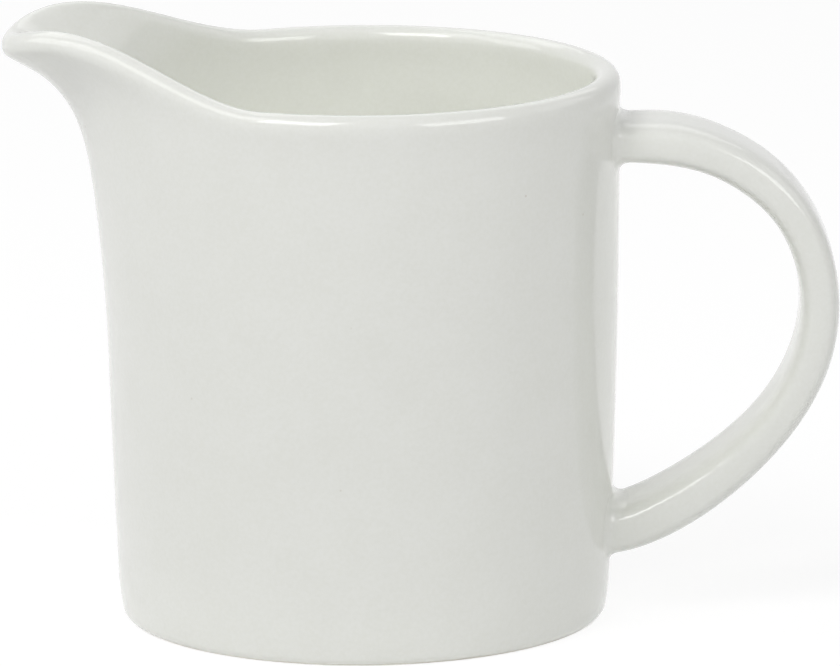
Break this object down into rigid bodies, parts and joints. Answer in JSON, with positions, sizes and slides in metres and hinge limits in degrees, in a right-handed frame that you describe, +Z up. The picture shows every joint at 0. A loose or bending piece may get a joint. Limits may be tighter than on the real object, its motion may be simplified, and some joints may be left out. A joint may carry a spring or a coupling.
{
  "type": "milk jug",
  "caption": "Small round milk jug in white glazed porcelain with a broad pulled spout, a strap handle opposite it and a foot ring; empty.",
  "frame": {"origin": "centre of the foot ring, on the plane that the jug stands on", "axes": "+Z up; the spout points along -X and the handle along +X"},
  "size_m": [0.1227, 0.076, 0.0893],
  "materials": {
    "porcelain_glaze": "clear gloss glaze over white porcelain"
  },
  "bodies": {
    "root": {"jug": "porcelain_glaze"}
  },
  "joints": []
}
